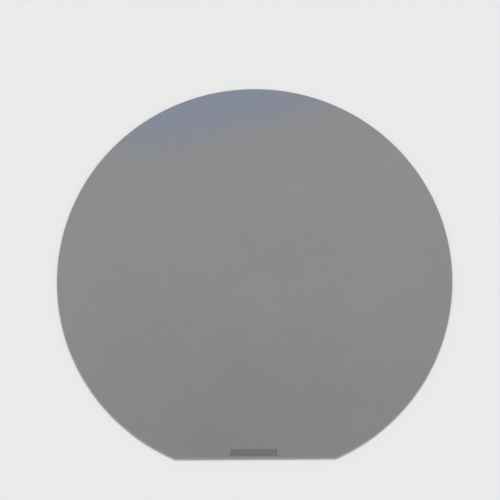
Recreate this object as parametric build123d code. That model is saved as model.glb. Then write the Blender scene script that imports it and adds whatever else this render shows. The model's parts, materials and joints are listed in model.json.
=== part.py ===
from build123d import *
import os
from math import asin, degrees, radians, tan

# Aluminium nitride disc: one sintered plate, lapped on both faces, with a straight flat on its edge.
# It lies on its back face. The origin is the centre of the round outline on that face, +Z leaves the
# front face, and the flat looks along -Y. Lengths are in millimetres and angles in degrees.

# Plate
disc_diameter = 150.0
disc_thickness = 0.675
flat_length = 57.5  # from corner to corner, before the corners are rounded
flat_corner_radius = 2.0  # in plan, where the flat runs into the round edge

# Ground edge, the same all round the disc and on both faces
bevel_width = 0.3  # measured in from the rim, along the face
bevel_angle = 22.0  # slope of the bevel below the face
nose_radius = 0.15  # between each bevel and the upright wall of the rim

FULL_TURN = 360.0
FLAT_DIRECTION = -90.0  # the way the flat looks in plan, counted from +X
UP = Vector(0, 0, 1)


def outline():
    """Plan of the disc: a round edge closed by the flat, with the two corners rounded."""
    flat_half_angle = degrees(asin(flat_length / disc_diameter))
    round_edge = CenterArc(
        center=(0, 0),
        radius=disc_diameter / 2,
        start_angle=FLAT_DIRECTION + flat_half_angle,
        arc_size=FULL_TURN - 2 * flat_half_angle,
    )
    flat = Line(round_edge @ 1, round_edge @ 0)
    plan = make_face(round_edge + flat)
    return fillet(plan.vertices(), flat_corner_radius)


def rim_section(path):
    """Section of the ground edge at the start of the path: a bevel from each face, a nose between them."""
    bevel_drop = bevel_width * tan(radians(bevel_angle))
    along = path % 0
    across = Plane(origin=path @ 0, x_dir=UP.cross(along), z_dir=along)
    back_rim, wall_foot = (bevel_width, 0), (0, bevel_drop)
    wall_top, front_rim = (0, disc_thickness - bevel_drop), (bevel_width, disc_thickness)
    section = make_face(Polyline(back_rim, wall_foot, wall_top, front_rim, close=True))
    nose = section.vertices().group_by(Axis.X)[0]
    return across * fillet(nose, nose_radius)


def ceramic_disc():
    """The plate inside the bevels, with the ground edge run all the way round it."""
    plan = outline()
    path = plan.face().outer_wire()
    plate = extrude(offset(plan, amount=-bevel_width), amount=disc_thickness)
    ground_edge = sweep(rim_section(path), path=path)
    return plate + ground_edge


os.makedirs("parts", exist_ok=True)
export_step(ceramic_disc(), "parts/ceramic_disc.step")
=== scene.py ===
import json
import math
from itertools import accumulate

import bpy
from mathutils import Matrix, Vector


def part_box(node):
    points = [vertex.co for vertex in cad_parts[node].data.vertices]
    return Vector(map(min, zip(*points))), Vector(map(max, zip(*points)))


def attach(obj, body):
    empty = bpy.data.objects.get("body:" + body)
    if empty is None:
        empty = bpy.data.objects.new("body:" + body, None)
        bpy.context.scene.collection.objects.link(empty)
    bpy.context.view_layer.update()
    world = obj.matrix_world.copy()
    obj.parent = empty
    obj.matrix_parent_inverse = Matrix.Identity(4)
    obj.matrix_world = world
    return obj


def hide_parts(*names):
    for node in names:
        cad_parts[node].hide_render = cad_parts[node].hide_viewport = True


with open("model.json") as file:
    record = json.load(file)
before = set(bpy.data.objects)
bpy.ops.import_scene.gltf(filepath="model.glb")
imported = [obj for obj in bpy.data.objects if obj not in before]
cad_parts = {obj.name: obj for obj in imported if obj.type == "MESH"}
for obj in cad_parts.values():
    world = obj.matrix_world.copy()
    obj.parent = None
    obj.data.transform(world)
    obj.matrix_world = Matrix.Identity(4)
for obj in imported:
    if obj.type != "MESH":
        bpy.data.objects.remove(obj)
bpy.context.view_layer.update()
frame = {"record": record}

# Lengths are in metres and angles in degrees.
# The disc's outline, thickness and own colour come from the frame.
low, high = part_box("ceramic_disc")
DISC_RADIUS = (high.x - low.x) / 2
FLAT_Y = low.y
THICKNESS = high.z - low.z
CERAMIC_COLOUR = frame["record"]["materials"][0]["base_color"]
CERAMIC_IOR = 2.15

# Ground edge: a bevel at each face and a rounded nose between bevel and wall
CORNER_RADIUS = 0.002
BEVEL_WIDTH = 0.0003
BEVEL_ANGLE = 22.0
NOSE_RADIUS = 0.00015
ROUND_STEPS = 720
CORNER_STEPS = 6
FLAT_STEPS = 24
NOSE_STEPS = 6

# Laser mark: a row of plain blocks, each a grid of shallow round pits
PIT_PITCH = 0.000203
PIT_RADIUS = 0.000087
PIT_FLOOR_RADIUS = 0.000053
PIT_DEPTH = 0.00002
BLOCK_COUNT = 12
BLOCK_COLUMNS = 6
BLOCK_ROWS = 12
COLUMNS_BETWEEN_BLOCKS = 1
SIDE_STEPS = 4  # steps along each side of the square round a pit
MARK_CENTRE_X = -0.0007
MARK_ABOVE_FLAT = 0.0019

# What shows in each finish: the size of its patches, and what they add to the shade where their noise is
# low and where it is high
CLOUD_SIZE = 0.03
CLOUD_SHADE = (0.08, 0.24)
MOTTLE_SIZE = 0.0025
MOTTLE_SHADE = (0.05, 0.17)
FACE_GRAIN_SIZE = 0.0002
FACE_GRAIN_SHADE = (0.04, 0.4)
EDGE_PATCH_SIZE = 0.004
EDGE_PATCH_SHADE = (0.05, 0.25)
EDGE_GRAIN_SIZE = 0.00012
EDGE_GRAIN_SHADE = (0.1, 0.6)
PIT_GRAIN_SIZE = 0.00004
PIT_GRAIN_SHADE = (0.0, 1.0)
NOISE_RANGE = (0.3, 0.7)  # where nearly all of a noise's values lie

# Each finish: its shares of the ceramic's own colour at the shades 0 and 1, its roughness and its bump
FACE_COLOURS = (0.8, 1.1)
FACE_ROUGHNESS = (0.1, 0.13)
EDGE_COLOURS = (1.0, 1.24)
EDGE_ROUGHNESS = (0.4, 0.55)
EDGE_BUMP = 0.2
PIT_COLOURS = (0.12, 0.28)
PIT_ROUGHNESS = (0.5, 0.7)
PIT_BUMP = 0.3
BUMP_HEIGHT = 0.00001

# Camera, from the outline in the photograph
CAMERA_AIM = Vector((-0.0016, 0.00771, 0.00045))
CAMERA_AZIMUTH = 1.31
CAMERA_ELEVATION = 75.17
CAMERA_ROLL = -1.72
CAMERA_DISTANCE = 0.3036
CAMERA_LENS_MM = 57.15
CAMERA_SENSOR_MM = 36.0
CAMERA_CLIP_SHARE = 0.01  # of its distance: nothing nearer is drawn

# Floor and key light
FLOOR_HALF_WIDTH = 30.0
FLOOR_GREY = 0.8
KEY_DIRECTION = Vector((0.16, 1.0, 0.72))  # from the disc to the light
KEY_STRENGTH = 2.87
KEY_SPREAD = 22.0  # how wide the light looks from the disc

# Dome: its grey at shares of the way from the zenith down to the horizon
DOME_GREYS = {0.0: 0.07, 0.14: 0.335, 0.22: 0.39, 0.28: 0.39, 0.5: 0.55, 0.75: 0.75, 1.0: 0.82}
DOME_STRETCH = 2.0  # how much wider its rings are from side to side than from front to back

# Cool panel in the dome: how far rays lean right, or back, for each metre that they rise, where each
# of its edges starts and where it is full
PANEL_COLOUR = (0.03, 0.285, 0.94, 1.0)
PANEL_LEFT = (-0.2, -0.18)
PANEL_RIGHT = (0.2, 0.07)
PANEL_NEAR = (0.441, 0.456)
PANEL_FAR = (0.57, 0.52)
PANEL_SKEW = 0.26  # how much further back it is for each step to the right

# Places of the parts of the surface on its flat texture map, from 0 to 1
MAP_NAME = "OFBake"
FRONT_MAP_CENTRE = (0.345, 0.345)
FRONT_MAP_RADIUS = 0.34
BACK_MAP_CENTRE = (0.815, 0.705)
BACK_MAP_RADIUS = 0.18
EDGE_MAP_ROWS = (0.9, 0.92)
MARK_MAP_CORNER = (0.01, 0.93)
MARK_MAP_WIDTH = 0.45

FACE, EDGE, PIT = range(3)  # material slots
MIX_SHARE, MIX_FIRST, MIX_SECOND, MIX_RESULT = 0, 6, 7, 2  # a Mix node's sockets for colours


class Surface:
    """Corners and faces of one mesh, with each face's material, shading and place on the texture map."""

    def __init__(self):
        self.points = []
        self.faces = []
        self.slots = []
        self.smooth = []
        self.places = []

    def point(self, x, y, z):
        self.points.append((x, y, z))
        return len(self.points) - 1

    def face(self, corners, slot, places, smooth=False):
        self.faces.append(corners)
        self.slots.append(slot)
        self.smooth.append(smooth)
        self.places += places

    def mapped_face(self, corners, slot, place, smooth=False):
        """A face whose corners are placed on the map by a function of their point."""
        self.face(corners, slot, [place(self.points[corner]) for corner in corners], smooth)

    def make(self, name, materials):
        mesh = bpy.data.meshes.new(name)
        mesh.from_pydata(self.points, [], self.faces)
        for material in materials:
            mesh.materials.append(material)
        mesh.polygons.foreach_set("material_index", self.slots)
        mesh.polygons.foreach_set("use_smooth", self.smooth)
        layer = mesh.uv_layers.new(name=MAP_NAME)
        layer.data.foreach_set("uv", [value for place in self.places for value in place])
        mesh.validate()
        piece = bpy.data.objects.new(name, mesh)
        bpy.context.scene.collection.objects.link(piece)
        return piece


def arc(centre, radius, start, end, steps):
    """Points along an arc, each with the way out from its centre. Angles are in radians."""
    found = []
    for step in range(steps + 1):
        angle = start + (end - start) * step / steps
        way = (math.cos(angle), math.sin(angle))
        found.append(((centre[0] + radius * way[0], centre[1] + radius * way[1]), way))
    return found


def outline():
    """The rim in plan, anticlockwise from the right end of the flat: each point with the way out of the
    disc, and the number of points on the round edge and its corners, which come before the flat's own."""
    corner_y = FLAT_Y + CORNER_RADIUS
    corner_x = math.sqrt((DISC_RADIUS - CORNER_RADIUS) ** 2 - corner_y ** 2)
    joint = math.atan2(corner_y, corner_x)
    down = -math.pi / 2
    right_corner = arc((corner_x, corner_y), CORNER_RADIUS, down, joint, CORNER_STEPS)
    round_edge = arc((0, 0), DISC_RADIUS, joint, math.pi - joint, ROUND_STEPS)
    left_corner = arc((-corner_x, corner_y), CORNER_RADIUS, math.pi - joint, math.pi - down, CORNER_STEPS)
    curved = right_corner + round_edge[1:] + left_corner[1:]
    flat = []
    for step in range(1, FLAT_STEPS):
        x = corner_x * (2 * step / FLAT_STEPS - 1)
        flat.append(((x, FLAT_Y), (0, -1)))
    return curved + flat, len(curved)


def rim_section():
    """Section of the ground edge from the back face to the front: depth in from the rim, and height."""
    slope = math.radians(BEVEL_ANGLE)
    bevel_drop = BEVEL_WIDTH * math.tan(slope)
    nose_drop = NOSE_RADIUS * (1 - math.sin(slope)) / math.cos(slope)
    nose_centre = (NOSE_RADIUS, THICKNESS - bevel_drop - nose_drop)
    nose = arc(nose_centre, NOSE_RADIUS, math.pi, math.pi / 2 + slope, NOSE_STEPS)
    upper = [point for point, way in nose]
    upper.append((BEVEL_WIDTH, THICKNESS))
    lower = [(inset, THICKNESS - height) for inset, height in reversed(upper)]
    return lower + upper


def along(points):
    """Share of the way round a closed line at each of its points, and 1 for its end."""
    steps = [math.dist(here, there) for here, there in zip(points, points[1:] + points[:1])]
    reached = list(accumulate(steps, initial=0))
    return [length / reached[-1] for length in reached]


def on_front(point):
    """Where a point of the front face is on the map."""
    scale = FRONT_MAP_RADIUS / DISC_RADIUS
    return (FRONT_MAP_CENTRE[0] + point[0] * scale, FRONT_MAP_CENTRE[1] + point[1] * scale)


def on_back(point):
    """Where a point of the back face, as seen from behind, is on the map."""
    scale = BACK_MAP_RADIUS / DISC_RADIUS
    return (BACK_MAP_CENTRE[0] - point[0] * scale, BACK_MAP_CENTRE[1] + point[1] * scale)


def ground_edge(surface):
    """The edge all round the disc. Returns its rings of corners on the back face and on the front face,
    and how many of a ring's corners come before the flat's own."""
    rim, curved = outline()
    rings = []
    for inset, height in rim_section():
        rings.append([surface.point(x - way_x * inset, y - way_y * inset, height)
                      for (x, y), (way_x, way_y) in rim])
    shares = along([point for point, way in rim])
    bottom, top = EDGE_MAP_ROWS
    rows = [bottom + (top - bottom) * row / (len(rings) - 1) for row in range(len(rings))]
    for row, (lower, upper) in enumerate(zip(rings, rings[1:])):
        for here in range(len(rim)):
            there = (here + 1) % len(rim)
            places = [(shares[here], rows[row]), (shares[here + 1], rows[row]),
                      (shares[here + 1], rows[row + 1]), (shares[here], rows[row + 1])]
            surface.face((lower[here], lower[there], upper[there], upper[here]), EDGE, places, smooth=True)
    return rings[0], rings[-1], curved


def laser_mark(surface):
    """The mark's rectangle of the front face. Returns its sides: bottom and top from the left, left and
    right from the bottom."""
    columns = BLOCK_COUNT * (BLOCK_COLUMNS + COLUMNS_BETWEEN_BLOCKS) - COLUMNS_BETWEEN_BLOCKS
    width = columns * SIDE_STEPS
    height = BLOCK_ROWS * SIDE_STEPS
    left = MARK_CENTRE_X - columns * PIT_PITCH / 2
    bottom = FLAT_Y + MARK_ABOVE_FLAT - BLOCK_ROWS * PIT_PITCH / 2
    step = PIT_PITCH / SIDE_STEPS
    scale = MARK_MAP_WIDTH / (columns * PIT_PITCH)
    corners = {}

    def corner(across, up):
        if (across, up) not in corners:
            corners[across, up] = surface.point(left + across * step, bottom + up * step, THICKNESS)
        return corners[across, up]

    def place(point):
        return (MARK_MAP_CORNER[0] + (point[0] - left) * scale,
                MARK_MAP_CORNER[1] + (point[1] - bottom) * scale)

    def pit(across, up):
        """A square of the face with a round pit in it, from its lower left corner."""
        sides = range(SIDE_STEPS)
        square = [corner(across + i, up) for i in sides]
        square += [corner(across + SIDE_STEPS, up + i) for i in sides]
        square += [corner(across + SIDE_STEPS - i, up + SIDE_STEPS) for i in sides]
        square += [corner(across, up + SIDE_STEPS - i) for i in sides]
        middle = (left + across * step + PIT_PITCH / 2, bottom + up * step + PIT_PITCH / 2)
        lower_left = -3 * math.pi / 4
        full_turn = 2 * math.pi
        mouth, floor = [], []
        for ring, radius, level in ((mouth, PIT_RADIUS, THICKNESS),
                                    (floor, PIT_FLOOR_RADIUS, THICKNESS - PIT_DEPTH)):
            for (x, y), way in arc(middle, radius, lower_left, lower_left + full_turn, len(square))[:-1]:
                ring.append(surface.point(x, y, level))
        for here in range(len(square)):
            there = (here + 1) % len(square)
            surround = (square[here], square[there], mouth[there], mouth[here])
            wall = (mouth[here], mouth[there], floor[there], floor[here])
            surface.mapped_face(surround, FACE, place)
            surface.mapped_face(wall, PIT, place, smooth=True)
        surface.mapped_face(floor, PIT, place, smooth=True)

    def side(axis, line):
        """The corners on one line of the grid, in order."""
        return [corners[key] for key in sorted(corners) if key[axis] == line]

    for block in range(BLOCK_COUNT):
        first = block * (BLOCK_COLUMNS + COLUMNS_BETWEEN_BLOCKS)
        for column in range(first, first + BLOCK_COLUMNS):
            for row in range(BLOCK_ROWS):
                pit(column * SIDE_STEPS, row * SIDE_STEPS)
        if block:
            near = (first - COLUMNS_BETWEEN_BLOCKS) * SIDE_STEPS
            far = first * SIDE_STEPS
            strip = [corner(near, up) for up in range(height, -1, -1)]
            strip += [corner(far, up) for up in range(height + 1)]
            surface.mapped_face(strip, FACE, place)
    return side(1, 0), side(1, height), side(0, 0), side(0, width)


def disc_surface():
    """The whole skin of the disc: the ground edge, the two faces and the mark in the front one."""
    surface = Surface()
    back, front, curved = ground_edge(surface)
    surface.mapped_face(back[::-1], FACE, on_back)
    bottom, top, left, right = laser_mark(surface)
    crown = curved // 2
    surface.mapped_face(front[:crown + 1] + right[::-1], FACE, on_front)
    surface.mapped_face(front[crown:curved] + left + top[1:], FACE, on_front)
    surface.mapped_face(front[curved - 1:] + front[:1] + bottom[::-1], FACE, on_front)
    return surface


def add(tree, kind, inputs=(), **settings):
    """A new node with its settings and inputs. An input is a plain value or another node's output."""
    made = tree.nodes.new(kind)
    for name, value in settings.items():
        setattr(made, name, value)
    for name, value in dict(inputs).items():
        if isinstance(value, bpy.types.NodeSocket):
            tree.links.new(value, made.inputs[name])
        else:
            made.inputs[name].default_value = value
    return made


def worked(tree, operation, *values):
    """The result of one Math node on plain values or other nodes' outputs."""
    return add(tree, "ShaderNodeMath", dict(enumerate(values)), operation=operation).outputs["Value"]


def chained(tree, operation, *values):
    """The result of one Math node after another, such as the sum or the product of several values."""
    total = values[0]
    for value in values[1:]:
        total = worked(tree, operation, total, value)
    return total


def noise(tree, place, size, detail):
    """Values of a noise with patches of about that size."""
    made = add(tree, "ShaderNodeTexNoise", {"Vector": place, "Scale": 1 / size, "Detail": detail})
    return made.outputs["Fac"]


def stretched(tree, value, first, last):
    """A noise's values, made to run from one value to another."""
    made = add(tree, "ShaderNodeMapRange", {"Value": value, "From Min": NOISE_RANGE[0],
                                            "From Max": NOISE_RANGE[1], "To Min": first, "To Max": last})
    return made.outputs["Result"]


def fade(tree, value, start, end):
    """A soft change from 0 at the start to 1 at the end, which may be the lower of the two."""
    made = add(tree, "ShaderNodeMapRange", {"Value": value, "From Min": start, "From Max": end},
               interpolation_type="SMOOTHSTEP")
    return made.outputs["Result"]


def ramp(tree, value, colours):
    """A colour for a value from 0 to 1, between the colours given for some values."""
    made = add(tree, "ShaderNodeValToRGB", {"Fac": value})
    stops = made.color_ramp.elements
    while len(stops) < len(colours):
        stops.new(1.0)
    for stop, (position, colour) in zip(stops, colours.items()):
        stop.position = position
        stop.color = colour
    return made.outputs["Color"]


def grey(value):
    """A neutral colour."""
    return (value, value, value, 1.0)


def ceramic(share):
    """The ceramic's own colour, made darker or, above 1, lighter."""
    return (*(channel * share for channel in CERAMIC_COLOUR), 1.0)


def ceramic_material(name):
    """A material with the nodes that each of the disc's finishes needs."""
    material = bpy.data.materials.new(name)
    material.use_nodes = True
    tree = material.node_tree
    shader = tree.nodes["Principled BSDF"]
    shader.inputs["IOR"].default_value = CERAMIC_IOR
    place = add(tree, "ShaderNodeTexCoord").outputs["Object"]
    return material, tree, shader, place


def coloured(tree, shader, shade, shares):
    """Colours a finish by its shade, from one share of the ceramic's own colour to another."""
    first, last = shares
    colour = ramp(tree, shade, {0.0: ceramic(first), 1.0: ceramic(last)})
    tree.links.new(colour, shader.inputs["Base Color"])


def roughened(tree, shader, value, ends):
    """Makes a finish's roughness follow a noise's values, from one end to the other."""
    tree.links.new(stretched(tree, value, *ends), shader.inputs["Roughness"])


def bumped(tree, shader, height, strength):
    """Gives a finish fine bumps that follow a noise's values."""
    bump = add(tree, "ShaderNodeBump", {"Height": height, "Strength": strength, "Distance": BUMP_HEIGHT})
    tree.links.new(bump.outputs["Normal"], shader.inputs["Normal"])


def lapped_face():
    """Fine-grained grey ceramic, lapped to a satin."""
    material, tree, shader, place = ceramic_material("lapped_aluminium_nitride")
    clouds = noise(tree, place, CLOUD_SIZE, detail=2)
    mottle = noise(tree, place, MOTTLE_SIZE, detail=3)
    grain = noise(tree, place, FACE_GRAIN_SIZE, detail=2)
    shade = chained(tree, "ADD", stretched(tree, clouds, *CLOUD_SHADE),
                    stretched(tree, mottle, *MOTTLE_SHADE), stretched(tree, grain, *FACE_GRAIN_SHADE))
    coloured(tree, shader, shade, FACE_COLOURS)
    roughened(tree, shader, mottle, FACE_ROUGHNESS)
    return material


def ground_finish():
    """The edge, left paler and duller by the grinding wheel."""
    material, tree, shader, place = ceramic_material("ground_aluminium_nitride")
    patches = noise(tree, place, EDGE_PATCH_SIZE, detail=2)
    grain = noise(tree, place, EDGE_GRAIN_SIZE, detail=3)
    shade = chained(tree, "ADD", stretched(tree, patches, *EDGE_PATCH_SHADE),
                    stretched(tree, grain, *EDGE_GRAIN_SHADE))
    coloured(tree, shader, shade, EDGE_COLOURS)
    roughened(tree, shader, grain, EDGE_ROUGHNESS)
    bumped(tree, shader, grain, EDGE_BUMP)
    return material


def burnt_pit():
    """The wall and floor of a laser pit: ceramic melted to a dull dark grey."""
    material, tree, shader, place = ceramic_material("burnt_aluminium_nitride")
    grain = noise(tree, place, PIT_GRAIN_SIZE, detail=3)
    coloured(tree, shader, stretched(tree, grain, *PIT_GRAIN_SHADE), PIT_COLOURS)
    roughened(tree, shader, grain, PIT_ROUGHNESS)
    bumped(tree, shader, grain, PIT_BUMP)
    return material


def pale_floor():
    """A plain pale floor under the disc."""
    half = FLOOR_HALF_WIDTH
    corners = [(-half, -half, 0), (half, -half, 0), (half, half, 0), (-half, half, 0)]
    mesh = bpy.data.meshes.new("floor")
    mesh.from_pydata(corners, [], [range(len(corners))])
    material = bpy.data.materials.new("pale_floor")
    material.use_nodes = True
    shader = material.node_tree.nodes["Principled BSDF"]
    shader.inputs["Base Color"].default_value = grey(FLOOR_GREY)
    shader.inputs["Roughness"].default_value = 1.0
    shader.inputs["Specular IOR Level"].default_value = 0.0
    mesh.materials.append(material)
    floor = bpy.data.objects.new("floor", mesh)
    bpy.context.scene.collection.objects.link(floor)


def studio_dome():
    """The surroundings: pale at the horizon, dimmer overhead, with a cool panel high behind the disc."""
    world = bpy.data.worlds.new("studio_dome")
    bpy.context.scene.world = world
    world.use_nodes = True
    tree = world.node_tree
    direction = add(tree, "ShaderNodeTexCoord").outputs["Generated"]
    parts = add(tree, "ShaderNodeSeparateXYZ", {"Vector": direction}).outputs

    narrowed = worked(tree, "DIVIDE", parts["X"], DOME_STRETCH)
    squares = worked(tree, "ADD", worked(tree, "POWER", narrowed, 2), worked(tree, "POWER", parts["Y"], 2))
    from_zenith = worked(tree, "ARCTAN2", worked(tree, "SQRT", squares), parts["Z"])
    share = worked(tree, "DIVIDE", from_zenith, math.pi / 2)
    dome = ramp(tree, share, {position: grey(value) for position, value in DOME_GREYS.items()})

    right = worked(tree, "DIVIDE", parts["X"], parts["Z"])
    back = worked(tree, "DIVIDE", parts["Y"], parts["Z"])
    depth = worked(tree, "MULTIPLY_ADD", right, -PANEL_SKEW, back)
    panel = chained(tree, "MULTIPLY", fade(tree, right, *PANEL_LEFT), fade(tree, right, *PANEL_RIGHT),
                    fade(tree, depth, *PANEL_NEAR), fade(tree, depth, *PANEL_FAR))
    colour = add(tree, "ShaderNodeMix", {MIX_SHARE: panel, MIX_FIRST: dome, MIX_SECOND: PANEL_COLOUR},
                 data_type="RGBA").outputs[MIX_RESULT]
    tree.links.new(colour, tree.nodes["Background"].inputs["Color"])


def key_light():
    """A broad, even light from above and behind the disc, and a little to its right."""
    data = bpy.data.lights.new("key_light", "SUN")
    data.energy = KEY_STRENGTH
    data.angle = math.radians(KEY_SPREAD)
    lamp = bpy.data.objects.new("key_light", data)
    lamp.rotation_euler = (-KEY_DIRECTION).to_track_quat("-Z", "Y").to_euler()
    lamp.visible_glossy = False  # the face mirrors the dome alone
    bpy.context.scene.collection.objects.link(lamp)


def photo_camera():
    """The camera where the photograph was taken from, with its slight roll."""
    data = bpy.data.cameras.new("photo_camera")
    data.lens = CAMERA_LENS_MM
    data.sensor_width = CAMERA_SENSOR_MM
    data.clip_start = CAMERA_DISTANCE * CAMERA_CLIP_SHARE
    camera = bpy.data.objects.new("photo_camera", data)
    azimuth = math.radians(CAMERA_AZIMUTH)
    elevation = math.radians(CAMERA_ELEVATION)
    back = Vector((math.sin(azimuth) * math.cos(elevation),
                   -math.cos(azimuth) * math.cos(elevation), math.sin(elevation)))
    level = (-back).to_track_quat("-Z", "Y").to_matrix()
    turned = level @ Matrix.Rotation(math.radians(CAMERA_ROLL), 3, "Z")
    camera.matrix_world = Matrix.Translation(CAMERA_AIM + back * CAMERA_DISTANCE) @ turned.to_4x4()
    bpy.context.scene.collection.objects.link(camera)
    bpy.context.scene.camera = camera


disc = disc_surface().make("ceramic_disc_skin", [lapped_face(), ground_finish(), burnt_pit()])
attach(disc, "root")
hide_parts("ceramic_disc")

pale_floor()
studio_dome()
key_light()
photo_camera()
bpy.context.scene.view_settings.view_transform = "Standard"
